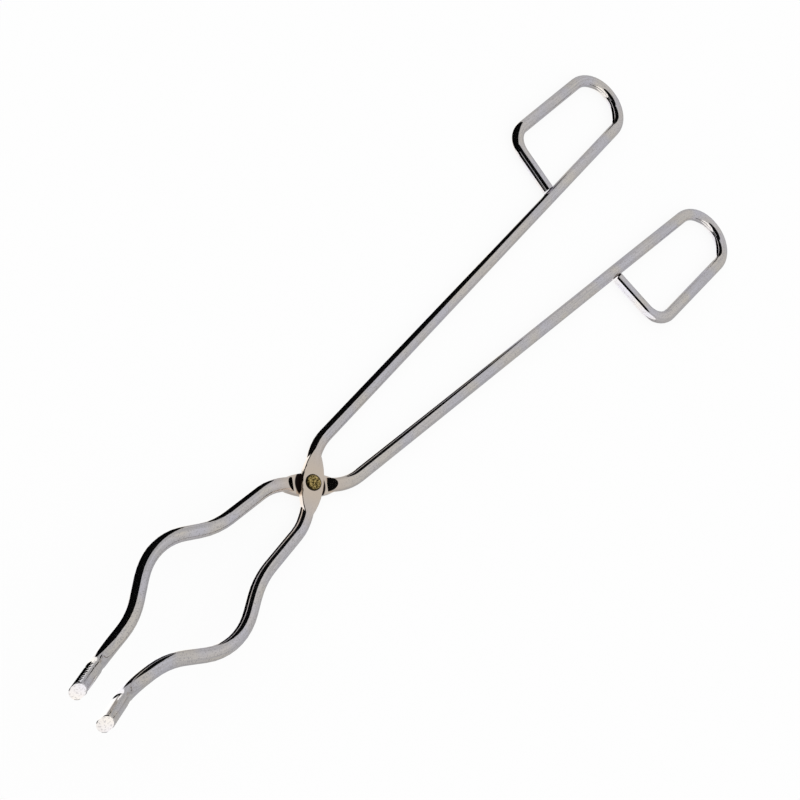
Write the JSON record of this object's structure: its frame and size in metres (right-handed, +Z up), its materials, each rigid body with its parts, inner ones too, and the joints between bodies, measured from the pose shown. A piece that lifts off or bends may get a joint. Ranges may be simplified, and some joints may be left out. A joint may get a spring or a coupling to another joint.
{
  "type": "crucible tongs",
  "caption": "Long riveted crucible tongs of bent round rod, with finger loops and bowed jaws that slope up to notched tips.",
  "frame": {"origin": "on the rivet's axis, on the plane of the surface that the tongs lie on", "axes": "+X towards the finger loops, +Z up along the rivet, +Y towards the upper arm's finger loop"},
  "size_m": [0.3879, 0.1046, 0.0483],
  "materials": {
    "nickel_plate_upper": "bright nickel plate",
    "nickel_plate_lower": "bright nickel plate",
    "rivet_brass": "hammered and tarnished"
  },
  "bodies": {
    "lower_half": {"lower_arm": "nickel_plate_lower", "rivet": "rivet_brass"},
    "upper_half": {"upper_arm": "nickel_plate_upper"}
  },
  "joints": [
    {"name": "crossing_hinge", "type": "hinge", "parent": "lower_half", "child": "upper_half", "pos_m": [0, 0, 0], "axis": [0, 0, 1], "range_deg": [-3.3, 54]}
  ]
}
